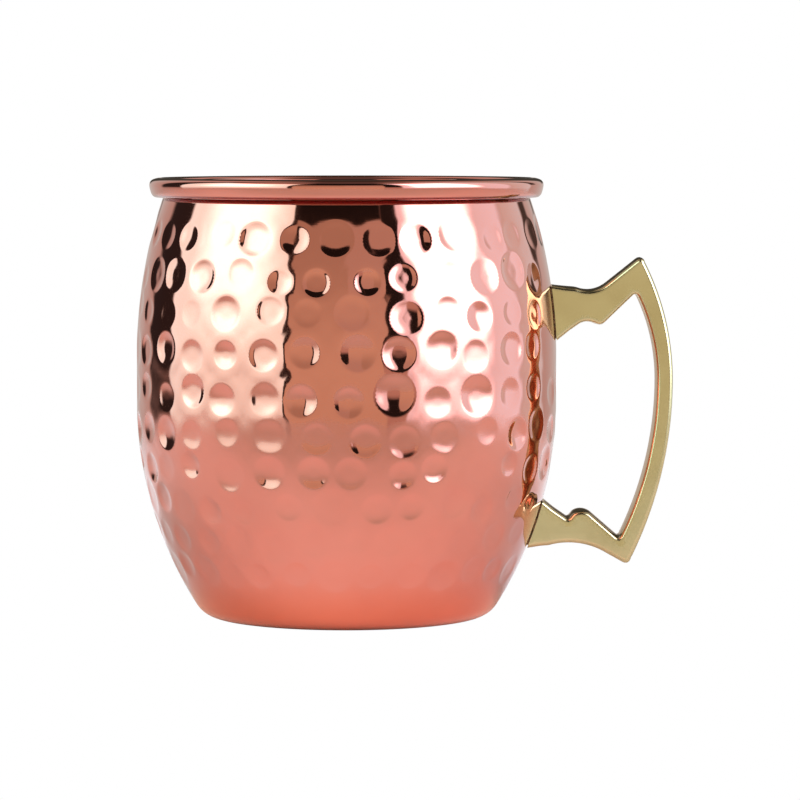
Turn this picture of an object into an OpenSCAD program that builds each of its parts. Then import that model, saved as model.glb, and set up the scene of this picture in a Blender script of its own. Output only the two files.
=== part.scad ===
// Barrel mug: a copper cup with a rolled rim, a thin steel lining and a cast brass handle.
// Millimetres. The origin is the centre of the foot, +Z is up along the cup's axis,
// and the handle stands out along +X.

/* [Cup] */
// Height from the foot to the top of the rolled rim
mug_h = 97; // [95:0.5:100]
// Outside radius of the belly
belly_r = 46.35; // [45.5:0.05:47]
// Height where the lower side runs into the straight stretch of the belly
belly_z = 48; // [46:0.5:49]
// Radius of the lower side's curve, seen from the side
low_r = 85; // [80:1:90]
// Radius of the upper side's curve, seen from the side
high_r = 110; // [104:1:116]
// Rounding between the side and the foot
heel_r = 6; // [5:0.5:7]

/* [Foot] */
// How far the middle of the base is pressed up
kick_h = 1.5; // [1:0.1:2]
// Width of the flat ring that the cup stands on
foot_w = 3; // [2:0.5:4]

/* [Sheet] */
// Thickness of the copper sheet
copper_t = 0.6; // [0.5:0.05:0.8]
// Thickness of the lining
lining_t = 0.3; // [0.2:0.05:0.4]

/* [Rim] */
// Radius of the rolled bead's section
bead_r = 2.1; // [1.9:0.05:2.3]
// Outside radius of the rim
rim_r = 43.35; // [43:0.05:43.7]
// Angle, round the bead's section, of the slot between the curled edge and the neck
curl_slot = 60; // [56:1:70]
// Distance from the rim's top down to the lining's edge
lining_drop = 3; // [2.6:0.1:4]

/* [Handle] */
// Width of the handle across its flat sides
handle_w = 11; // [9:0.5:13]
// Reach of the grip's outer face from the cup's axis
grip_reach = 72.1; // [71:0.1:74]
// Thickness of the grip at its widest reach
grip_t = 3.9; // [3.4:0.1:4.5]

/* [Joints] */
// Thickness of the braze between the handle and the cup
braze_t = 0.3; // [0.2:0.05:0.5]
// How far the braze stops short of the handle's edges
braze_inset = 0.7; // [0.4:0.1:1]

/* [Hidden] */
$fn = 144;
// Overlap of neighbouring bands in the barrel's section
lap = 0.5;

// Lower side, a circle that is upright at belly_z, and the heel circle inside it
low_c = [belly_r - low_r, belly_z];
heel_x = low_c[0] + sqrt(pow(low_r - heel_r, 2) - pow(belly_z - heel_r, 2));
heel_c = [heel_x, heel_r];
heel_sin = (heel_c[1] - low_c[1]) / (low_r - heel_r);

// Rim bead, and the upper side's circle, which touches the bead's inner side
bead_c = [rim_r - bead_r, mug_h - bead_r];
high_x = belly_r - high_r;
lean_r = high_r - copper_t + bead_r;
high_c = [high_x, bead_c[1] - sqrt(lean_r * lean_r - pow(bead_c[0] - high_x, 2))];
lean = asin((bead_c[1] - high_c[1]) / lean_r);
touch_z = bead_c[1] - bead_r * sin(lean);
// Angle over which the bead runs on inside the neck's sheet
neck_lap = 10;

// Foot ring and the pressed-up middle
recess_r = heel_x - foot_w;
recess_shift = tan(22.5);

// Grip: two arcs outside and two inside, each upright at its widest point
grip_z = 52.3;
out_high_r = 57.7;
out_low_r = 89.5;
in_high_r = 43;
in_low_r = 78;
grip_in = grip_reach - grip_t;
// Both arms start inside the cup, and widen towards it at this slope
arm_root = 37;
arm_slope = tan(34.6);
// Heights between which each end meets the cup
upper_joint = [61, 73.4];
lower_joint = [15.4, 25.7];

// Points along an arc of circle c, r from angle a0 to a1
function arc(c, r, a0, a1, n = 18) =
    [for (i = [0 : n]) let (a = a0 + (a1 - a0) * i / n) c + r * [cos(a), sin(a)]];

// Points from a to b along an arc that bulges by sag to the left of the way from a to b
function bow(a, b, sag, n = 8) =
    let (d = b - a, c = norm(d), r = (c * c / 4 + sag * sag) / (2 * sag),
         side = [-d[1], d[0]] / c, o = (a + b) / 2 + side * (sag - r), half = asin(c / (2 * r)))
    [for (i = [0 : n]) let (t = (2 * i / n - 1) * half) o + side * r * cos(t) + d / c * r * sin(t)];

// Angle at which a grip arc of radius r reaches height z
function grip_angle(r, z) = asin((z - grip_z) / r);

// Handle outline in the X-Z plane, clockwise from the upper arm's root
handle_outline = concat(
    // Upper arm's top edge, its dip, and the peak
    bow([arm_root, 73.6], [50.6, 72.9], 0.15),
    bow([50.6, 72.9], [57.1, 73.75], -0.9),
    bow([64.2, 79.4], [grip_reach - 6.3, 78.75], 0.35, 4),
    // Grip's outer face and the rounded point below it
    arc([grip_reach - out_high_r, grip_z], out_high_r, grip_angle(out_high_r, 78.7), 0),
    arc([grip_reach - out_low_r, grip_z], out_low_r, -1, grip_angle(out_low_r, 13.7)),
    bow([grip_reach - 9.1, 13.2], [60.8, 12.1], 0.8, 6),
    // Lower arm: underside, root, notch and knuckle
    bow([57.6, 13.9], [44.6, 15.75], -1.4, 12),
    [[arm_root, 15.2], [arm_root, 21.9 + (48.9 - arm_root) * arm_slope], [48.9, 21.9]],
    bow([50, 23.2], [53.8, 23.15], 0.55),
    // Grip's inner face and its upper corner
    arc([grip_in - in_low_r, grip_z], in_low_r, grip_angle(in_low_r, 17.7), 0),
    arc([grip_in - in_high_r, grip_z], in_high_r, 1, grip_angle(in_high_r, 70.7)),
    bow([grip_in - 4.35, 71.1], [grip_in - 5.05, 71.05], -0.2, 4),
    // Upper arm's thumb point, the scoop beside it, and back to the root
    bow([57, 65.1], [55, 64.75], 0.35, 6),
    bow([54.4, 64.95], [50.9, 64.45], -0.55),
    [[arm_root, 64.45 - (50.9 - arm_root) * arm_slope]]
);

// Half of a circle's section between two heights
module disc_band(c, r, z0, z1) {
    intersection() {
        translate(c) circle(r);
        translate([0, z0]) square([2 * belly_r, z1 - z0]);
    }
}

// Solid half section of the barrel, drawn d inside the cup's outer surface, up to height top
module barrel(d, top) {
    heel_z = heel_r + (heel_r - d) * heel_sin;
    difference() {
        union() {
            translate([0, d]) square([heel_x, heel_z + lap - d]);
            disc_band(heel_c, heel_r - d, d, heel_z + lap);
            disc_band(low_c, low_r - d, heel_z, belly_z + lap);
            translate([0, belly_z]) square([belly_r - d, high_c[1] - belly_z]);
            disc_band(high_c, high_r - d, high_c[1] - lap, top);
        }
        foot_recess(d);
    }
}

// Pressed-up middle of the base, its top face d above the underside
module foot_recess(d) {
    x = recess_r + d * recess_shift;
    polygon([[-1, -1], [-1, kick_h + d], [x - kick_h, kick_h + d], [x, d], [x, -1]]);
}

// Rolled edge: a ring that runs over the top and round to a slot beside the neck
module bead() {
    reach = 2 * bead_r;
    slot_from = 180 + lean + neck_lap;
    slot_to = 180 + lean + curl_slot;
    translate(bead_c)
        difference() {
            circle(bead_r, $fn = 72);
            circle(bead_r - copper_t, $fn = 72);
            polygon([[0, 0], reach * [cos(slot_from), sin(slot_from)], reach * [cos(slot_to), sin(slot_to)]]);
        }
}

// Copper cup: drawn barrel with its base, open at the top, and the rim rolled outwards
module copper_cup() {
    color([0.85, 0.47, 0.36])
        rotate_extrude() {
            difference() {
                barrel(0, touch_z);
                barrel(copper_t, mug_h);
            }
            bead();
        }
}

// Lining: a thin steel cup pressed against the inside of the copper
module inner_lining() {
    color([0.78, 0.77, 0.74])
        rotate_extrude()
            difference() {
                barrel(copper_t, mug_h - lining_drop);
                barrel(copper_t + lining_t, mug_h);
            }
}

// Brass casting, its two ends shaped to the barrel
module handle() {
    color([0.74, 0.65, 0.4])
        difference() {
            rotate([90, 0, 0]) linear_extrude(handle_w, center = true) polygon(handle_outline);
            rotate_extrude() barrel(-braze_t, mug_h - 2 * bead_r);
        }
}

// Braze film between the barrel and one end of the handle, over a span of heights
module braze(span) {
    wide = handle_w - 2 * braze_inset;
    color([0.55, 0.5, 0.4])
        intersection() {
            rotate_extrude()
                difference() {
                    barrel(-braze_t, mug_h - 2 * bead_r);
                    barrel(0, mug_h);
                }
            translate([0, -wide / 2, span[0] + braze_inset])
                cube([2 * belly_r, wide, span[1] - span[0] - 2 * braze_inset]);
        }
}

module upper_braze() braze(upper_joint);

module lower_braze() braze(lower_joint);

copper_cup();
inner_lining();
handle();
upper_braze();
lower_braze();
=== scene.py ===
# Hammered copper mug: a dented copper barrel with a rolled rim, a steel lining and a cast brass handle.
import math
import random

import bmesh
import bpy
import numpy as np
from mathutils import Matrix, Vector
from mathutils.geometry import delaunay_2d_cdt


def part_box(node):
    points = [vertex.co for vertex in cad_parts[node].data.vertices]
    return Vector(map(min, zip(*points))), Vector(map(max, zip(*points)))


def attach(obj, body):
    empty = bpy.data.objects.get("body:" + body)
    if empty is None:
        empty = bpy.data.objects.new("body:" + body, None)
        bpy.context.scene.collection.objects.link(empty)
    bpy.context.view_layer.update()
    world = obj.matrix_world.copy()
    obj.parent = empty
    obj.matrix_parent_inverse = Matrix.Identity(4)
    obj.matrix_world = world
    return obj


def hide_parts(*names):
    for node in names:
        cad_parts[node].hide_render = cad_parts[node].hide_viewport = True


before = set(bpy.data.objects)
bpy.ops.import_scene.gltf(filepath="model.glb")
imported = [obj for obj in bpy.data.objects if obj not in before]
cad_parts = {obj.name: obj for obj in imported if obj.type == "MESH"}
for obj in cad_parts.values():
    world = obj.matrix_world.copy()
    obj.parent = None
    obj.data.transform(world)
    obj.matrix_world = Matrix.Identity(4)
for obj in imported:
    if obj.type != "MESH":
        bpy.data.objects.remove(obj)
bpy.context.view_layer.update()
mm = 0.001
fullTurn = 2 * math.pi
farAway = 9.0      # metres, where a search for the nearest starts
rowGap = 0.87      # rows of a loose net lie this much of its step apart


def makePiece(name, points, faces, material, normals=None, sharpAngle=None):
    mesh = bpy.data.meshes.new(name)
    mesh.from_pydata([tuple(p) for p in points], [], faces)
    mesh.shade_smooth()
    if sharpAngle is not None:
        mesh.set_sharp_from_angle(angle=sharpAngle)
    if normals is not None:
        mesh.normals_split_custom_set_from_vertices([tuple(n) for n in normals])
    piece = bpy.data.objects.new(name, mesh)
    bpy.context.scene.collection.objects.link(piece)
    mesh.materials.append(material)
    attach(piece, "root")
    print(f"{name}: {len(points)} points, {len(faces)} faces")
    return piece


def unit(vectors):
    return vectors / np.maximum(np.linalg.norm(vectors, axis=-1, keepdims=True), 1e-12)


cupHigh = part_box("copper_cup")[1]
cup = {
    "height": cupHigh.z,
    "bellyR": cupHigh.x,
    "widest": cupHigh.x - 0.02 * mm,   # no raised metal stands further out
    "bellyZ": 48 * mm,         # top of the lower side's curve
    "lowCurve": 85 * mm,       # radius of the lower side, seen from the side
    "highCurve": 110 * mm,     # radius of the upper side
    "heel": 6 * mm,            # rounding between the side and the foot
    "kick": 1.5 * mm,          # the base's middle is pressed up by this
    "footWidth": 3 * mm,
    "softCorner": 0.5 * mm,    # rounding of the pressed base
    "baseRings": (12 * mm, 4 * mm),    # radii of the rings that carry its flat middle
    "sheet": 0.6 * mm,
    "bead": 2.1 * mm,          # rolled rim, radius of its section
    "rimR": 43.35 * mm,
    "lipAngle": -100,          # where the curled edge stops, round the bead, in degrees
    "sideFrom": 5 * mm,        # heights between which the side is dented
    "sideTo": 90.5 * mm,
    "sideFade": 2 * mm,        # the marks start and end over this height
    "behind": 0.4 * mm,        # extra depth of the hidden skins, so that no mark comes through them
    "behindFrom": (8 * mm, 4 * mm),    # height where that starts, and the run over which it grows
    "behindTo": (91 * mm, 5 * mm),
    "squareness": 3.1,         # of the bead's outer half; 2 is round
    "droop": 14,               # how far its flat side turns down, in degrees
    "columns": 300,
    "flatSteps": 900,          # heights at which the side's unrolling is worked out
}
lowX = cup["bellyR"] - cup["lowCurve"]
highX = cup["bellyR"] - cup["highCurve"]
heelX = lowX + math.sqrt((cup["lowCurve"] - cup["heel"]) ** 2 - (cup["bellyZ"] - cup["heel"]) ** 2)
beadR, beadZ = cup["rimR"] - cup["bead"], cup["height"] - cup["bead"]
leanR = cup["highCurve"] - cup["sheet"] + cup["bead"]
highZ = beadZ - math.sqrt(leanR ** 2 - (beadR - highX) ** 2)
lean = math.asin((beadZ - highZ) / leanR)
footR = heelX - cup["footWidth"]
recessShift = math.tan(math.radians(22.5))    # a 45 degree wall moves in by this much of the depth


def heelTop(depth):
    sine = (cup["heel"] - cup["bellyZ"]) / (cup["lowCurve"] - cup["heel"])
    return cup["heel"] + (cup["heel"] - depth) * sine


heelAngle = math.degrees(math.asin((cup["heel"] - heelTop(0)) / cup["heel"]))


def sideRadius(z, depth=0.0):
    # radius of the smooth side at height z, depth inside the outer skin
    z = np.asarray(z, float)
    heel = heelX + np.sqrt(np.maximum((cup["heel"] - depth) ** 2 - (cup["heel"] - z) ** 2, 0))
    low = lowX + np.sqrt(np.maximum((cup["lowCurve"] - depth) ** 2 - (z - cup["bellyZ"]) ** 2, 0))
    high = highX + np.sqrt(np.maximum((cup["highCurve"] - depth) ** 2 - (z - highZ) ** 2, 0))
    upper = np.where(z < highZ, cup["bellyR"] - depth, high)
    return np.where(z < heelTop(depth), heel, np.where(z < cup["bellyZ"], low, upper))


def sideSlope(z):
    step = 0.02 * mm
    return (sideRadius(z + step) - sideRadius(z - step)) / (2 * step)


def ramp(value, run):
    # 0 below 0, 1 above run
    return np.clip(value / run, 0, 1)


def hiddenRadius(z, depth):
    # radius of a skin behind the marks
    z = np.asarray(z, float)
    start, startRun = cup["behindFrom"]
    end, endRun = cup["behindTo"]
    room = ramp(z - start, startRun) * ramp(end - z, endRun)
    return sideRadius(z, depth) - room * cup["behind"]


def onSide(phi, z):
    # points and outward normals; phi runs from the front, -Y, towards the handle, +X
    radius, slope = sideRadius(z), sideSlope(z)
    points = np.stack([radius * np.sin(phi), -radius * np.cos(phi), z], -1)
    normals = unit(np.stack([np.sin(phi), -np.cos(phi), -slope], -1))
    return points, normals


dents = {
    "seed": 7,
    "rowHeights": (85.3, 76.3, 68.6, 60.4, 51.0, 42.8, 35.0, 27.2, 19.6, 12.4),   # mm
    "rowTurns": (-1.6, 5.6, 3.6, 2.7, 2.5, 4.5, 2.6, 8.0, 3.0, 9.0),              # degrees
    "perRow": 30,
    "wander": (1.5, 1.1),          # degrees round, mm up
    "radius": (3.1, 4.6),          # mm
    "steepest": (0.09, 0.31),      # slope of a mark's wall
    "flatness": (2.3, 4.2),        # 2 is a bowl, more has a flatter middle
    "edge": 1.75,                  # 1 is a sharp edge, 2 a soft one
    "lowestFade": 0.7,             # the lowest row's depth against the full depth
    "fadeBelow": 40.0,             # mm, rows below it get shallower
    "spacing": 0.97,               # two marks' radii against the distance between them
    "swell": (0.035, 1.25, 0.6),   # metal raised round a mark: height, place and reach against its radius
    "handleClear": (6.0, 0.5),     # mm, kept free beside the handle's ends, and above and below them
}


def planDents():
    chance = random.Random(dents["seed"])
    low, high = dents["rowHeights"][-1], dents["fadeBelow"]
    planned = []
    ends = [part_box("upper_braze"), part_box("lower_braze")]
    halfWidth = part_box("handle")[1].y
    for row, height in enumerate(dents["rowHeights"]):
        for i in range(dents["perRow"]):
            turn = dents["rowTurns"][row] + 360 * i / dents["perRow"]
            phi = math.radians(turn + chance.uniform(-1, 1) * dents["wander"][0])
            z = (height + chance.uniform(-1, 1) * dents["wander"][1]) * mm
            radius = chance.uniform(*dents["radius"]) * mm
            steep = chance.uniform(*dents["steepest"])
            flat = chance.uniform(*dents["flatness"])
            fade = min(1, max(0, (height - low) / (high - low)))
            steep *= dents["lowestFade"] + (1 - dents["lowestFade"]) * fade
            centre = onSide(np.array(phi), np.array(z))[0]
            aside, above = (radius + clear * mm for clear in dents["handleClear"])
            beside = centre[0] > 0 and abs(centre[1]) < halfWidth + aside
            if beside and any(a.z - above < z < b.z + above for a, b in ends):
                continue
            planned.append([phi, z, radius, steep, centre, flat])
    # where two marks would run into each other, both get smaller
    for mark in planned:
        for other in planned:
            gap = np.linalg.norm(mark[4] - other[4])
            if mark is not other and 0 < gap * dents["spacing"] < mark[2] + other[2]:
                scale = gap * dents["spacing"] / (mark[2] + other[2])
                mark[2] *= scale
                other[2] *= scale
    return planned


def markShape(s, flat):
    # a mark's depth and slope at share s of its radius, for a wall whose steepest slope is 1
    edge = dents["edge"]
    inside = np.maximum(1 - s ** flat, 0)
    peak = (flat - 1) / (edge * flat - 1)
    steepest = edge * flat * peak ** (1 - 1 / flat) * (1 - peak) ** (edge - 1)
    slope = edge * flat * s ** (flat - 1) * inside ** (edge - 1)
    return inside ** edge / steepest, slope / steepest


def press(points, normals, marks, share=1.0):
    # depth pressed in at each point, and its slope along the surface
    drop = np.zeros(len(points))
    slope = np.zeros((len(points), 3))
    swell, place, reach = dents["swell"]
    for phi, z, radius, steep, centre, flat in marks:
        steep = steep * share
        limit = (place + reach) * radius
        away = points - centre
        near = np.nonzero(np.abs(away[:, 2]) < limit)[0]
        near = near[np.linalg.norm(away[near], axis=1) < limit]
        if not len(near):
            continue
        s = np.linalg.norm(away[near], axis=1) / radius
        depth, wall = markShape(s, flat)
        turn = np.clip((s - place) / reach, -1, 1) * math.pi
        drop[near] += steep * radius * (depth - swell * (1 + np.cos(turn)) / 2)
        rise = steep * (swell * math.pi / (2 * reach) * np.sin(turn) - wall)
        slope[near] += (rise / np.maximum(s * radius, 1e-9))[:, None] * away[near]
    slope -= normals * (slope * normals).sum(1, keepdims=True)
    return drop, slope


def dentedSide(phi, z, marks):
    points, normals = onSide(phi, z)
    drop, slope = press(points, normals, marks)
    edge = ramp(cup["sideTo"] - z, cup["sideFade"]) * ramp(z - cup["sideFrom"], cup["sideFade"])
    points = points - normals * (drop * edge)[:, None]
    reach = np.hypot(points[:, 0], points[:, 1])
    points[:, :2] *= np.minimum(1, cup["widest"] / reach)[:, None]
    return points, unit(normals + slope * edge[:, None])


def roundedPath(corners, radius, steps=5):
    # a run of straight stretches with its inner corners rounded
    path = [corners[0]]
    for before, corner, after in zip(corners, corners[1:], corners[2:]):
        before, corner, after = np.array(before), np.array(corner), np.array(after)
        a, b = unit(before - corner), unit(after - corner)
        half = math.acos(np.clip(a @ b, -1, 1)) / 2
        reach = radius / math.tan(half)
        centre = corner + unit(a + b) * radius / math.sin(half)
        start, end = corner + a * reach - centre, corner + b * reach - centre
        for i in range(steps + 1):
            mixed = unit(start * (1 - i / steps) + end * i / steps)
            path.append(tuple(centre + mixed * radius))
    path.append(corners[-1])
    return path


def spin(path, columns):
    # points and normals of a path of (radius, height), turned round the axis
    path = np.array(path, float)
    ahead = np.gradient(path, axis=0)
    phi = np.arange(columns) * fullTurn / columns
    out = unit(np.stack([ahead[:, 1], -ahead[:, 0]], -1))
    points = np.stack([path[:, 0, None] * np.sin(phi), -path[:, 0, None] * np.cos(phi),
                       np.repeat(path[:, 1, None], columns, 1)], -1)
    normals = np.stack([out[:, 0, None] * np.sin(phi), -out[:, 0, None] * np.cos(phi),
                        np.repeat(out[:, 1, None], columns, 1)], -1)
    return points.reshape(-1, 3), normals.reshape(-1, 3)


def gridFaces(rings, flip=False):
    # quads between rings, each a list of point numbers
    faces = []
    for low, high in zip(rings, rings[1:]):
        n = len(low)
        for j in range(n):
            k = (j + 1) % n
            faces.append((low[j], low[k], high[k], high[j]))
    return [face[::-1] for face in faces] if flip else faces


def fan(ring, tip, flip=False):
    faces = [(tip, ring[(j + 1) % len(ring)], ring[j]) for j in range(len(ring))]
    return [face[::-1] for face in faces] if flip else faces


def arcPath(centre, radius, fromAngle, toAngle, steps):
    turns = [math.radians(fromAngle + (toAngle - fromAngle) * i / steps) for i in range(steps + 1)]
    return [(centre[0] + radius * math.cos(a), centre[1] + radius * math.sin(a)) for a in turns]


net = {
    # rings round each mark: share of its radius, and points
    "rings": ((0.2, 6), (0.38, 11), (0.54, 16), (0.68, 21), (0.8, 26),
              (0.9, 30), (0.98, 32), (1.08, 32), (1.2, 30)),
    "step": 1.05 * mm,      # spacing of the loose points between marks
    "wobble": 0.2,          # how far a loose point strays, against the step
    "clear": 1.29,          # loose points stay this many radii away from a mark
    "margin": 0.5 * mm,     # and all points this far inside the dented heights
}


def sideNet(marks):
    # points of the dented side: rings round each mark and a loose net between marks
    chance = random.Random(dents["seed"] + 1)
    marksAt = np.array([m[4] for m in marks])
    marksR = np.array([m[2] for m in marks])
    phis, zs, owners = [], [], []
    for n, (phi, z, radius, steep, centre, flat) in enumerate(marks):
        upright = 1 / math.hypot(1, float(sideSlope(z)))
        phis.append([phi])
        zs.append([z])
        owners.append([n])
        for r, (share, count) in enumerate(net["rings"]):
            a = (np.arange(count) + 0.5 * (r % 2)) * fullTurn / count
            phis.append(phi + share * radius * np.cos(a) / float(sideRadius(z)))
            zs.append(z + share * radius * np.sin(a) * upright)
            owners.append([n] * count)
    phi, z, owner = np.concatenate(phis), np.concatenate(zs), np.concatenate(owners)
    step, stray = net["step"], net["wobble"]
    rows = int((cup["sideTo"] - cup["sideFrom"]) / (step * rowGap))
    count = int(fullTurn * cup["bellyR"] / step)
    looseZ = np.repeat(cup["sideFrom"] + (np.arange(rows) + 0.5) * step * rowGap, count)
    loosePhi = np.tile(np.arange(count), rows) + np.repeat(np.arange(rows) % 2 * 0.5, count)
    loosePhi = loosePhi * fullTurn / count
    wobble = np.array([[chance.uniform(-stray, stray) for _ in range(2)] for _ in looseZ]) * step
    looseZ = looseZ + wobble[:, 0]
    loosePhi = loosePhi + wobble[:, 1] / cup["bellyR"]
    phi = np.concatenate([phi, loosePhi])
    z = np.concatenate([z, looseZ])
    owner = np.concatenate([owner, np.full(len(looseZ), -1)])
    inside = (z > cup["sideFrom"] + net["margin"]) & (z < cup["sideTo"] - net["margin"])
    phi, z, owner = phi[inside], z[inside], owner[inside]
    points = onSide(phi, z)[0]
    # a point belongs to the mark that it is nearest to, so no two marks' rings run through each other
    nearest = np.full(len(points), farAway)
    nearestMark = np.full(len(points), -1)
    for n in range(len(marks)):
        share = np.linalg.norm(points - marksAt[n], axis=1) / marksR[n]
        closer = share < nearest
        nearest[closer] = share[closer]
        nearestMark[closer] = n
    keep = np.where(owner < 0, nearest > net["clear"], nearestMark == owner)
    return phi[keep], z[keep]


def beadPath(fromAngle, toAngle, steps):
    # the bead's outside, slightly squared on the outer half where the roll was pressed flat
    path = []
    for i in range(steps + 1):
        angle = fromAngle + (toAngle - fromAngle) * i / steps
        power = cup["squareness"] if abs(angle) < 90 else 2
        turn = math.radians(angle + (cup["droop"] if abs(angle) < 90 else 0))
        scale = cup["bead"] / (abs(math.cos(turn)) ** power + abs(math.sin(turn)) ** power) ** (1 / power)
        angle = math.radians(angle)
        path.append((beadR + scale * math.cos(angle), min(beadZ + scale * math.sin(angle), cup["height"])))
    return path


def buildCup(material, marks):
    columns = cup["columns"]
    phiRing = np.arange(columns) * fullTurn / columns
    phi, z = sideNet(marks)
    phi = np.concatenate([phiRing, phiRing, phi])
    z = np.concatenate([np.full(columns, cup["sideFrom"]), np.full(columns, cup["sideTo"]), z])
    # the side is unrolled to a flat ring without stretching angles, and netted there
    heights = np.linspace(cup["sideFrom"], cup["sideTo"], cup["flatSteps"])
    rate = np.sqrt(1 + sideSlope(heights) ** 2) / sideRadius(heights)
    reach = np.concatenate([[0], np.cumsum((rate[1:] + rate[:-1]) / 2 * np.diff(heights))])
    flat = np.exp(np.interp(z, heights, reach))
    flatPoints = [Vector((r * math.cos(a), r * math.sin(a))) for r, a in zip(flat, phi)]
    netted = delaunay_2d_cdt(flatPoints, [], [], 0, 1e-9)
    source = [originals[0] for originals in netted[3]]
    faces = []
    for face in netted[2]:
        a, b, c = (source[i] for i in face)
        if not (a < columns and b < columns and c < columns):
            faces.append((c, b, a))
    points, normals = dentedSide(phi, z, marks)
    lowRing, highRing = list(range(columns)), list(range(columns, 2 * columns))

    # underneath: from the dented side round the heel and the foot to the pressed-up middle
    kick = cup["kick"]
    wide, narrow = cup["baseRings"]
    under = [(float(sideRadius(h)), h) for h in np.linspace(cup["sideFrom"], heelTop(0), 4)[:-1]]
    under += arcPath((heelX, cup["heel"]), cup["heel"], -heelAngle, -90, 9)
    pressed = [(heelX - 0.2 * mm, 0), (footR, 0), (footR - kick, kick), (wide, kick)]
    under += roundedPath(pressed, cup["softCorner"])
    under += [(narrow, kick)]
    under = under[::-1]
    underPoints, underNormals = spin(under, columns)

    # above: the neck, the inside of the roll, its edge, the bead and then the inner skin
    hollow = cup["bead"] - cup["sheet"]
    turned = 180 + math.degrees(lean)
    neckTop = beadZ - hollow * math.sin(lean)
    above = [(float(sideRadius(h)), h) for h in np.linspace(cup["sideTo"], neckTop, 7)]
    above += arcPath((beadR, beadZ), hollow, turned, cup["lipAngle"], 16)[1:]
    edge = math.radians(cup["lipAngle"])
    middle = cup["bead"] - cup["sheet"] / 2
    edgeAt = (beadR + middle * math.cos(edge), beadZ + middle * math.sin(edge))
    above += arcPath(edgeAt, cup["sheet"] / 2, cup["lipAngle"] + 180, cup["lipAngle"], 5)[1:-1]
    above += beadPath(cup["lipAngle"], turned, 40)
    innerTop = beadZ - cup["bead"] * math.sin(lean)
    skin = cup["sheet"]
    heights = np.linspace(innerTop, heelTop(skin), 24)[1:]
    above += [(float(hiddenRadius(h, skin)), h) for h in heights]
    above += arcPath((heelX, cup["heel"]), cup["heel"] - skin, -heelAngle, -90, 5)[1:]
    turn = footR + skin * recessShift
    above += [(turn, skin), (turn - kick, kick + skin), (narrow, kick + skin)]
    abovePoints, aboveNormals = spin(above, columns)

    base = len(points)
    underRings = [[base + i * columns + j for j in range(columns)] for i in range(len(under) - 1)]
    underCount = (len(under) - 1) * columns
    base += underCount
    aboveRings = [[base + i * columns + j for j in range(columns)] for i in range(len(above) - 1)]
    tips = [base + (len(above) - 1) * columns, base + (len(above) - 1) * columns + 1]
    faces += gridFaces(underRings + [lowRing])
    faces += fan(underRings[0], tips[0])
    faces += gridFaces([highRing] + aboveRings)
    faces += fan(aboveRings[-1], tips[1], flip=True)
    points = np.concatenate([points, underPoints[:underCount], abovePoints[columns:],
                             [(0, 0, kick), (0, 0, kick + skin)]])
    normals = np.concatenate([normals, underNormals[:underCount], aboveNormals[columns:],
                              [(0, 0, -1), (0, 0, 1)]])
    return makePiece("hammeredCopper", points, faces, material, normals)


lining = {
    "gap": 0.02 * mm,         # between it and the copper
    "sheet": 0.28 * mm,
    "drop": 3 * mm,           # from the rim's top down to its edge
    "edge": ((0.09 * mm, 0.1 * mm), (0, 0.13 * mm), (-0.09 * mm, 0.1 * mm)),   # its rounded lip
    "share": 0.6,             # how much of a hammer mark comes through
    "markRoom": (5 * mm, 3 * mm),    # marks start above this height, and fade over this run
    "columns": 288,
    "rows": 84,
}


def buildLining(material, marks):
    columns = lining["columns"]
    outside = cup["sheet"] + lining["gap"]
    inside = outside + lining["sheet"]
    top = cup["height"] - lining["drop"]
    kick = cup["kick"]
    wide, narrow = cup["baseRings"]

    def floorPath(depth):
        turn = footR + depth * recessShift
        corners = [(heelX - 0.1 * mm, depth), (turn, depth),
                   (turn - kick, kick + depth), (wide, kick + depth)]
        return [(narrow, kick + depth)] + roundedPath(corners, cup["softCorner"])[::-1]

    outer = floorPath(outside)
    outer += arcPath((heelX, cup["heel"]), cup["heel"] - outside, -90, -heelAngle, 4)
    heights = np.linspace(heelTop(outside), top, 24)[1:]
    outer += [(float(hiddenRadius(h, outside)), h) for h in heights]
    edgeR = (outer[-1][0] + float(hiddenRadius(top, inside))) / 2
    edge = [(edgeR + out, top + up) for out, up in lining["edge"]]
    heights = np.linspace(top, heelTop(inside), lining["rows"])
    wall = [(float(hiddenRadius(h, inside)), h) for h in heights]
    inner = arcPath((heelX, cup["heel"]), cup["heel"] - inside, -heelAngle, -90, 8)[1:]
    inner += floorPath(inside)[::-1]
    path = outer + edge + wall + inner
    points, normals = spin(path, columns)
    first = (len(outer) + len(edge)) * columns
    last = first + len(wall) * columns
    wallPoints, wallNormals = points[first:last], normals[first:last]
    drawn = 1 - (inside + cup["behind"]) / cup["bellyR"]
    inward = [mark[:4] + [mark[4] * np.array((drawn, drawn, 1)), mark[5]] for mark in marks]
    drop, slope = press(wallPoints, -wallNormals, inward, lining["share"])
    height = wallPoints[:, 2]
    start, run = lining["markRoom"]
    fade = ramp(top - run - height, run) * ramp(height - start, run)
    points[first:last] = wallPoints + wallNormals * (drop * fade)[:, None]
    normals[first:last] = unit(wallNormals - slope * fade[:, None])
    rings = [[i * columns + j for j in range(columns)] for i in range(len(path))]
    tips = [len(points), len(points) + 1]
    points = np.concatenate([points, [(0, 0, kick + outside), (0, 0, kick + inside)]])
    normals = np.concatenate([normals, [(0, 0, -1), (0, 0, 1)]])
    faces = gridFaces(rings) + fan(rings[0], tips[0]) + fan(rings[-1], tips[1], flip=True)
    return makePiece("steelLining", points, faces, material, normals)


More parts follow.
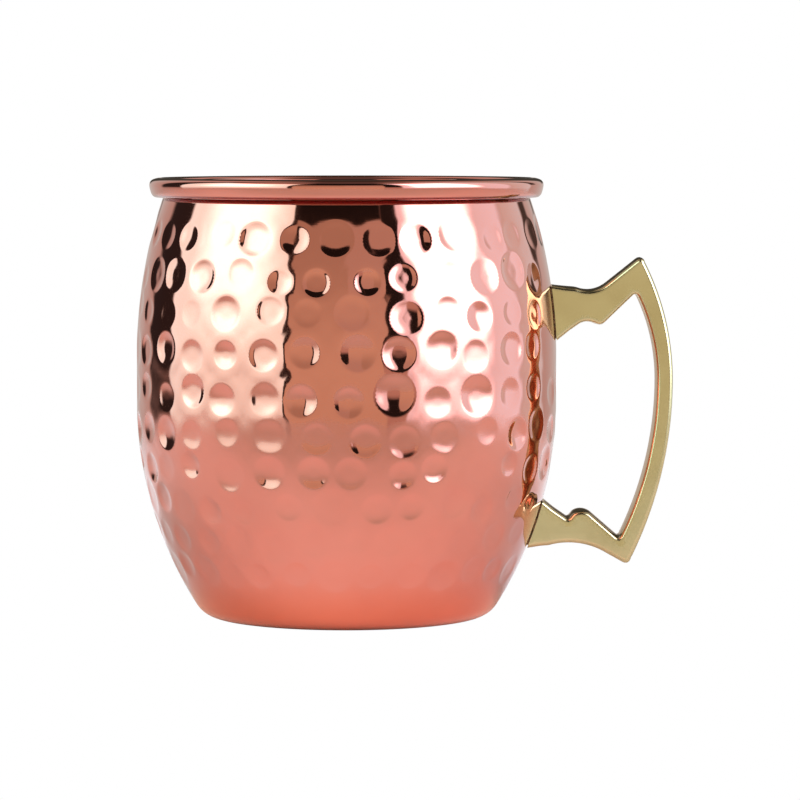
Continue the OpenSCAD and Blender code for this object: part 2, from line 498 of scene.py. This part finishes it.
grip = {
    "edge": 0.75 * mm,        # rounding between the flat sides and the outline
    "edgeSteps": 5,
    "net": 0.36 * mm,         # spacing of points along the outline
    "inner": 1.3 * mm,        # spacing of points in the flat sides
    "flush": 0.06 * mm,       # a corner this near the barrel belongs to an end
    "firstRing": 0.3 * mm,    # from the rounded edge to the first ring of points on the flat side
    "innerRoom": 0.9 * mm,    # and to the loose points within that ring
    "closest": 0.05 * mm,     # no inner point lies nearer to the outline
    "slack": 0.96,            # a ring's point may be this share of its distance from the outline
    "soften": 1,              # times that the outline's corners are eased
    "across": 8,              # strips across the outline's wall
    "crown": 0.25 * mm,       # how far the wall swells between the two sides
    "fit": 3 * mm,            # length at each end that is shaped to the barrel
    "joint": 0.3 * mm,        # room for the braze
    "crease": 55,             # degrees; sharper edges stay sharp
}


def handleOutline():
    # the loop round the CAD handle's flat side, as (x, z)
    shape = bmesh.new()
    shape.from_mesh(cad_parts["handle"].data)
    bmesh.ops.remove_doubles(shape, verts=shape.verts, dist=0.002 * mm)
    shape.normal_update()
    side = {f for f in shape.faces if f.normal.y < -0.99}
    links = {}
    for e in shape.edges:
        if sum(f in side for f in e.link_faces) == 1:
            for a, b in (e.verts, reversed(e.verts)):
                links.setdefault(a, []).append(b)
    start = max(links, key=lambda v: v.co.x)
    loop, before = [start], None
    while True:
        ahead = [v for v in links[loop[-1]] if v is not before][0]
        if ahead is start:
            break
        before = loop[-1]
        loop.append(ahead)
    outline = np.array([(v.co.x, v.co.z) for v in loop])
    shape.free()
    area = np.sum(outline[:, 0] * np.roll(outline[:, 1], -1) - outline[:, 1] * np.roll(outline[:, 0], -1))
    return outline if area > 0 else outline[::-1]


def barrelX(z, y):
    return np.sqrt(np.maximum((sideRadius(z) + grip["joint"]) ** 2 - y ** 2, 0))


def distanceTo(points, starts, ends):
    # distance of each point to the nearest of the segments
    best = np.full(len(points), farAway)
    for a, b in zip(starts, ends):
        along = b - a
        t = np.clip((points - a) @ along / (along @ along), 0, 1)
        best = np.minimum(best, np.linalg.norm(points - a - t[:, None] * along, axis=1))
    return best


def buildHandle(material):
    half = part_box("handle")[1].y
    corners = handleOutline()
    atEnd = np.abs(corners[:, 0] - barrelX(corners[:, 1], half)) < grip["flush"]
    outline, fixed, isEnd = [], [], []
    for i, here in enumerate(corners):
        after = (i + 1) % len(corners)
        length = np.linalg.norm(corners[after] - here)
        pieces = max(1, round(length / grip["net"]))
        endEdge = atEnd[i] and atEnd[after]
        for k in range(pieces):
            outline.append(here + (corners[after] - here) * k / pieces)
            isEnd.append(endEdge)
            fixed.append(endEdge or (k == 0 and atEnd[i]))
    outline, fixed, isEnd = np.array(outline), np.array(fixed), np.array(isEnd)
    for _ in range(grip["soften"]):
        eased = (np.roll(outline, 1, 0) + 2 * outline + np.roll(outline, -1, 0)) / 4
        outline = np.where(fixed[:, None], outline, eased)
    ends = np.roll(outline, -1, 0)
    outer = ~isEnd
    tangent = unit(ends - np.roll(outline, 1, 0))
    inward = np.stack([-tangent[:, 1], tangent[:, 0]], -1)
    clear = ramp(outline[:, 0] - barrelX(outline[:, 1], half), grip["fit"])
    crown = inward * (grip["crown"] * clear)[:, None]
    outline = np.where(fixed[:, None], outline, outline + crown)
    ends = np.roll(outline, -1, 0)

    # points inside the outline: rings over the rounded edge, then a loose net
    radius = grip["edge"]
    inner = []
    for k in range(1, grip["edgeSteps"] + 2):
        turn = min(90, 90 * k / grip["edgeSteps"])
        step = radius * (1 - math.cos(math.radians(turn)))
        if k > grip["edgeSteps"]:
            step += grip["firstRing"]
        shifted = (outline + inward * step)[k % 2::2]
        far = distanceTo(shifted, outline[outer], ends[outer])
        inner.append(shifted[far > grip["slack"] * step])
    low, high = outline.min(0), outline.max(0)
    gap = grip["inner"]
    loose = [(x + gap / 2 * (j % 2), z) for j, z in enumerate(np.arange(low[1], high[1], gap * rowGap))
             for x in np.arange(low[0], high[0], gap)]
    loose = np.array(loose)
    inner.append(loose[distanceTo(loose, outline, ends) > radius + grip["innerRoom"]])
    inner = np.concatenate(inner)
    inner = inner[distanceTo(inner, outline, ends) > grip["closest"]]
    count = len(outline)
    flat = [Vector(p) for p in np.concatenate([outline, inner])]
    loop = [(i, (i + 1) % count) for i in range(count)]
    netted = delaunay_2d_cdt(flat, loop, [], 1, 1e-9)
    at = np.array([tuple(v) for v in netted[0]])
    original = {}
    for new, olds in enumerate(netted[3]):
        for old in olds:
            original[old] = new
    rim = [original[i] for i in range(count)]

    far = distanceTo(at, outline[outer], ends[outer])
    for i in range(count):
        if outer[i] or outer[i - 1]:
            far[rim[i]] = 0
    rise = np.where(far < radius, np.sqrt(np.maximum(radius ** 2 - (radius - far) ** 2, 0)), radius)
    thick = half - radius + rise

    def shaped(xz, y):
        # the ends follow the barrel across the handle's width
        endX = barrelX(xz[:, 1], half)
        close = np.clip(1 - (xz[:, 0] - endX) / grip["fit"], 0, 1)
        x = xz[:, 0] + close * (barrelX(xz[:, 1], y) - endX)
        return np.stack([x, y, xz[:, 1]], -1)

    n = len(at)
    front, back = shaped(at, -thick), shaped(at, thick)
    points = [front, back]
    strips = [rim]
    for k in range(1, grip["across"]):
        share = 2 * k / grip["across"] - 1
        points.append(shaped(at[rim] - crown * (1 - share ** 2), thick[rim] * share))
        first = 2 * n + (k - 1) * count
        strips.append(list(range(first, first + count)))
    strips.append([r + n for r in rim])
    faces = [tuple(f) for f in netted[2]] + [tuple(i + n for i in reversed(f)) for f in netted[2]]
    faces += gridFaces(strips, flip=True)
    crease = math.radians(grip["crease"])
    return makePiece("brassHandle", np.concatenate(points), faces, material, sharpAngle=crease)


class Field:
    # a socket whose value varies over a surface; sums, products and powers add Math nodes
    def __init__(self, tree, socket):
        self.tree = tree
        self.socket = socket

    def math(self, operation, first, second=0.0):
        return self.tree.node("Math", {"operation": operation}, {0: first, 1: second})

    def __add__(self, other):
        return self.math("ADD", self, other)

    def __radd__(self, other):
        return self.math("ADD", other, self)

    def __sub__(self, other):
        return self.math("SUBTRACT", self, other)

    def __rsub__(self, other):
        return self.math("SUBTRACT", other, self)

    def __mul__(self, other):
        return self.math("MULTIPLY", self, other)

    def __rmul__(self, other):
        return self.math("MULTIPLY", other, self)

    def __pow__(self, other):
        return self.math("POWER", self, other)


class Tree:
    # a material's or the world's nodes
    def __init__(self, owner):
        owner.use_nodes = True
        self.nodes = owner.node_tree.nodes
        self.links = owner.node_tree.links

    def node(self, kind, settings=None, inputs=None, output=0):
        made = self.nodes.new("ShaderNode" + kind)
        for key, value in (settings or {}).items():
            setattr(made, key, value)
        for key, value in (inputs or {}).items():
            self.plug(made.inputs[key], value)
        return Field(self, made.outputs[output])

    def plug(self, socket, value):
        if isinstance(value, Field):
            self.links.new(value.socket, socket)
        elif socket.type == "RGBA" and len(value) == 3:
            socket.default_value = (*value, 1)
        else:
            socket.default_value = value

    def smooth(self, value, start, end):
        # 0 before start, 1 after end
        return self.node("MapRange", {"interpolation_type": "SMOOTHSTEP"}, {"Value": value, 1: start, 2: end})

    def step(self, value, place, soft):
        return self.smooth(value, place - soft / 2, place + soft / 2)

    def between(self, value, start, end):
        # 1 between two edges, each given as its place and how soft it is
        return self.step(value, *start) * (1 - self.step(value, *end))

    def mix(self, share, first, second):
        return self.node("Mix", {"data_type": "RGBA"}, {0: share, 6: first, 7: second}, 2)

    def split(self, vector, axis):
        return self.node("SeparateXYZ", {}, {0: vector}, axis)

    def place(self):
        return self.node("TexCoord", {}, {}, "Object")

    def noise(self, vector, scale, detail=3.0, rough=0.5):
        settings = {"Scale": scale, "Detail": detail, "Roughness": rough}
        return self.node("TexNoise", {}, {"Vector": vector, **settings})

    def stretch(self, vector, scale):
        return self.node("Mapping", {}, {"Vector": vector, "Scale": scale})

    def bump(self, height, distance):
        return self.node("Bump", {}, {"Height": height, "Distance": distance, "Strength": 1.0})


def newMetal(name, values):
    material = bpy.data.materials.new(name)
    tree = Tree(material)
    shader = tree.nodes["Principled BSDF"].inputs
    shader["Metallic"].default_value = 1.0
    for key, value in values.items():
        tree.plug(shader[key], value)
    return material, tree, shader


copper = {
    "bright": (0.785, 0.254, 0.168),
    "deep": (0.735, 0.226, 0.145),
    "cloud": (38.0, 3.0),                    # scale and detail of the patches
    "patches": (0.35, 0.7),                  # where bright turns to deep
    "rough": (0.035, 0.075),
    "haze": (120.0, 4.0, 0.6),               # scale, detail and roughness of the polish's noise
    "scratch": 0.0012 * mm,
    "rub": (260.0, 3.0, 0.6),
    "rubLength": (1.0, 1.0, 14.0),           # the rubbing runs round the mug
    "paintedRimShade": (0.30, 0.028, 0.014),          # painted shade: a dark red band under the rolled rim, where the bead shades the neck
    "paintedRimShadeFrom": (92.0 * mm, 0.4 * mm),     # its lower edge's height and softness
    "paintedRimShadeTo": (93.25 * mm, 0.3 * mm),
    "lacquer": {"Coat Weight": 1.0, "Coat Roughness": 0.02, "Coat IOR": 1.52},
}


def copperFinish():
    material, tree, shader = newMetal("hammered copper", copper["lacquer"])
    place = tree.place()
    cloud = tree.noise(place, *copper["cloud"])
    tone = tree.mix(tree.smooth(cloud, *copper["patches"]), copper["bright"], copper["deep"])
    # painted shade under the rolled rim, mixed into the copper's colour
    paintedRimShade = tree.between(tree.split(place, "Z"), copper["paintedRimShadeFrom"], copper["paintedRimShadeTo"])
    tree.plug(shader["Base Color"], tree.mix(paintedRimShade, tone, copper["paintedRimShade"]))
    haze = tree.noise(place, *copper["haze"])
    low, high = copper["rough"]
    tree.plug(shader["Roughness"], low + haze * (high - low))
    rub = tree.noise(tree.stretch(place, copper["rubLength"]), *copper["rub"])
    tree.plug(shader["Normal"], tree.bump(rub, copper["scratch"]))
    return material


steel = {
    "bright": (0.62, 0.60, 0.57),
    "dull": (0.48, 0.465, 0.44),
    "rough": (0.24, 0.4),
    "line": 0.006 * mm,         # depth of the turning lines
    "perMetre": 1400.0,         # how close they lie
    "lines": (1.0, 4.0, 0.7),   # scale, detail and roughness of their noise
    "cloud": (60.0, 3.0),
    "lineShare": (0.6, 0.5),    # their part of the colour and of the roughness; the cloud has the rest
}


def steelFinish():
    material, tree, shader = newMetal("spun steel", {})
    place = tree.place()
    x, y, z = (tree.split(place, axis) for axis in "XYZ")
    out = (x * x + y * y) ** 0.5
    # lines run round the axis, so they depend on height and radius only
    run = tree.node("CombineXYZ", {}, {0: out * steel["perMetre"], 1: z * steel["perMetre"], 2: 0.0})
    lines = tree.noise(run, *steel["lines"])
    cloud = tree.noise(place, *steel["cloud"])
    inColour, inRough = steel["lineShare"]
    tone = lines * inColour + cloud * (1 - inColour)
    tree.plug(shader["Base Color"], tree.mix(tone, steel["dull"], steel["bright"]))
    low, high = steel["rough"]
    tree.plug(shader["Roughness"], low + (lines * inRough + cloud * (1 - inRough)) * (high - low))
    tree.plug(shader["Normal"], tree.bump(lines, steel["line"]))
    return material


brass = {
    "bright": (0.68, 0.555, 0.29),
    "deep": (0.60, 0.475, 0.235),
    "cloud": (55.0, 3.0),
    "patches": (0.38, 0.68),
    "rough": (0.11, 0.2),
    "haze": (300.0, 4.0, 0.6),
    "depth": 0.012 * mm,             # of the cast skin
    "skin": (170.0, 2.0, 0.4),
    "rub": (350.0, 3.0, 0.6),
    "rubLength": (9.0, 1.0, 1.0),
    "rubShare": 0.15,                # against the skin
}


def brassFinish():
    material, tree, shader = newMetal("cast brass", {})
    place = tree.place()
    cloud = tree.noise(place, *brass["cloud"])
    patches = tree.smooth(cloud, *brass["patches"])
    tree.plug(shader["Base Color"], tree.mix(patches, brass["bright"], brass["deep"]))
    haze = tree.noise(place, *brass["haze"])
    low, high = brass["rough"]
    tree.plug(shader["Roughness"], low + haze * (high - low))
    skin = tree.noise(place, *brass["skin"])
    rub = tree.noise(tree.stretch(place, brass["rubLength"]), *brass["rub"])
    tree.plug(shader["Normal"], tree.bump(skin + rub * brass["rubShare"], brass["depth"]))
    return material


braze = {
    "fresh": (0.42, 0.30, 0.17),
    "burnt": (0.13, 0.08, 0.05),
    "cloud": (420.0, 4.0, 0.6),
    "patches": (0.35, 0.65),
    "rough": (0.35, 0.6),
    "grain": 0.03 * mm,
}


def brazeFinish():
    material, tree, shader = newMetal("dull braze", {})
    place = tree.place()
    cloud = tree.noise(place, *braze["cloud"])
    patches = tree.smooth(cloud, *braze["patches"])
    tree.plug(shader["Base Color"], tree.mix(patches, braze["burnt"], braze["fresh"]))
    low, high = braze["rough"]
    tree.plug(shader["Roughness"], low + cloud * (high - low))
    tree.plug(shader["Normal"], tree.bump(cloud, braze["grain"]))
    return material


# Panels of light and black cards round the mug. Turn is in degrees from the front, -Y,
# towards the handle, +X; rise is in degrees above the table. Each edge has its own softness.
studio = {
    "back": (0.58, 0.50, 0.46),
    "cards": (
        # (from, softness), (to, softness), (lowest, softness), (highest, softness), light
        ((164, 8), (200, 1), (2, 2), (90, 2), (0.055, 0.05, 0.04)),           # dark wall behind, right
        ((-200, 1), (-164, 8), (2, 2), (90, 2), (0.055, 0.05, 0.04)),         # and left
        ((-135, 6), (-111, 3), (-6, 8), (90, 2), (0.03, 0.027, 0.027)),       # left black card
        ((-111, 3), (-31.5, 1), (-7, 18), (52, 4), (1.35, 2.2, 2.4)),         # left soft box
        ((-92, 22), (-46, 28), (7, 16), (46, 14), (4.2, 4.2, 4.8)),           # its bright middle
        ((-33.5, 1), (-30, 1), (-10, 8), (90, 2), (0.03, 0.025, 0.025)),      # its frame
        ((-30.5, 1), (23, 1), (-30, 2), (31, 1), (0.50, 0.46, 0.38)),         # room in front
        ((0, 3), (23, 1), (-30, 2), (31, 1), (0.58, 0.55, 0.50)),             # its lighter half
        ((-30.5, 1), (23, 1), (-60, 2), (9, 32), (0.74, 0.70, 0.57)),         # its pale lower part
        ((-30.5, 1), (23, 1), (31, 1), (90, 2), (0.015, 0.015, 0.015)),       # black card above it
        ((23, 1), (33.5, 2), (0, 8), (90, 2), (0.02, 0.02, 0.02)),            # right black card
        ((33.5, 2), (92, 10), (-8, 16), (62, 4), (1.25, 1.6, 2.05)),          # right soft box
        ((40, 8), (84, 12), (-1, 14), (56, 10), (4.8, 5.2, 6.4)),             # its bright middle
        ((88, 10), (112, 8), (-12, 10), (60, 6), (1.12, 1.50, 1.90)),         # side panel
        ((112, 8), (137, 4), (-12, 10), (70, 4), (0.80, 0.98, 1.05)),         # its duller end
        ((137, 4), (146, 4), (4, 4), (80, 4), (0.07, 0.06, 0.05)),            # its stand
    ),
    "overhead": (70, 8),                # the dim ceiling's lowest rise and its softness
    "ceiling": (0.12, 0.12, 0.12),
    "seen": (1.0, 1.0, 1.0),            # plain white behind the mug
}


def buildWorld():
    world = bpy.data.worlds.new("studio")
    bpy.context.scene.world = world
    tree = Tree(world)
    way = tree.node("TexCoord", {}, {}, "Generated")
    x, y, z = (tree.split(way, axis) for axis in "XYZ")
    turn = tree.node("Math", {"operation": "ARCTAN2"}, {0: x, 1: y * -1.0}) * (180 / math.pi)
    rise = tree.node("Math", {"operation": "ARCSINE"}, {0: z}) * (180 / math.pi)
    light = studio["back"]
    for start, end, low, high, shine in studio["cards"]:
        card = tree.between(turn, start, end) * tree.between(rise, low, high)
        light = tree.mix(card, light, shine)
    light = tree.mix(tree.step(rise, *studio["overhead"]), light, studio["ceiling"])
    seen = tree.node("LightPath", {}, {}, "Is Camera Ray")
    background = tree.nodes["Background"].inputs
    tree.plug(background["Color"], tree.mix(seen, light, studio["seen"]))
    background["Strength"].default_value = 1.0
    print("studio light set")


stage = {
    "height": -0.02 * mm,           # just clear of the foot
    "reach": 0.62,                  # half the table's width
    "near": (0.86, 0.745, 0.665),   # how pale the table is beside the mug
    "close": (0.84, 0.56, 0.40),    # painted contact shadow and warm bounce light, right under it
    "paintedShadowRun": (0.033, 0.050),     # distances from the axis where the painted shadow (close) turns to near
    "front": (0.64, 0.59, 0.50),    # painted shade: darker towards its front edge, where less light falls
    "paintedFalloffRun": (-0.052, -0.20),
    "fade": (0.15, 0.58),           # distances over which the table thins out to nothing
}


def buildFloor():
    reach = stage["reach"]
    mesh = bpy.data.meshes.new("floor")
    corners = [(-reach, -reach), (reach, -reach), (reach, reach), (-reach, reach)]
    mesh.from_pydata([(x, y, stage["height"]) for x, y in corners], [], [(0, 1, 2, 3)])
    floor = bpy.data.objects.new("floor", mesh)
    bpy.context.scene.collection.objects.link(floor)
    material = bpy.data.materials.new("pale floor")
    tree = Tree(material)
    tree.nodes.remove(tree.nodes["Principled BSDF"])
    place = tree.place()
    x, y = tree.split(place, "X"), tree.split(place, "Y")
    # painted shade: the table's colour darkens towards its front edge
    ahead = tree.smooth(y * -1.0, -stage["paintedFalloffRun"][0], -stage["paintedFalloffRun"][1])
    out = (x * x + y * y) ** 0.5
    # painted contact shadow and bounce light under the mug, mixed into the table's colour
    pale = tree.mix(tree.smooth(out, *stage["paintedShadowRun"]), stage["close"], stage["near"])
    lit = tree.node("BsdfDiffuse", {}, {"Color": tree.mix(ahead, pale, stage["front"])})
    thin = tree.smooth(out, *stage["fade"])
    clear = tree.node("BsdfTransparent")
    table = tree.node("MixShader", {}, {0: thin, 1: lit, 2: clear})
    seen = tree.node("LightPath", {}, {}, "Is Camera Ray")
    white = tree.node("Emission", {}, {"Color": (1, 1, 1), "Strength": 1.0})
    both = tree.node("MixShader", {}, {0: seen, 1: table, 2: white})
    tree.plug(tree.nodes["Material Output"].inputs["Surface"], both)
    mesh.materials.append(material)
    print("floor laid")


camera = {
    "place": (15.6 * mm, -0.901, 0.1077),
    "aim": (11.8 * mm, 0, 47.8 * mm),
    "lens": 183.5,
    "sensor": 36,
}


def buildCamera():
    data = bpy.data.cameras.new("camera")
    data.lens = camera["lens"]
    data.sensor_width = camera["sensor"]
    eye = bpy.data.objects.new("camera", data)
    eye.location = camera["place"]
    eye.rotation_euler = (Vector(camera["aim"]) - Vector(camera["place"])).to_track_quat("-Z", "Y").to_euler()
    bpy.context.scene.collection.objects.link(eye)
    bpy.context.scene.camera = eye
    print("camera placed")


buildCamera()
buildWorld()
buildFloor()
marks = planDents()
print(f"{len(marks)} hammer marks planned")
hammered = buildCup(copperFinish(), marks)
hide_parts("copper_cup")
linedWith = buildLining(steelFinish(), marks)
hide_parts("inner_lining")
handle = buildHandle(brassFinish())
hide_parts("handle")
dull = brazeFinish()
for node in ("upper_braze", "lower_braze"):
    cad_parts[node].data.materials.clear()
    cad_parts[node].data.materials.append(dull)
print("braze films finished")

bpy.context.scene.view_settings.view_transform = "Standard"
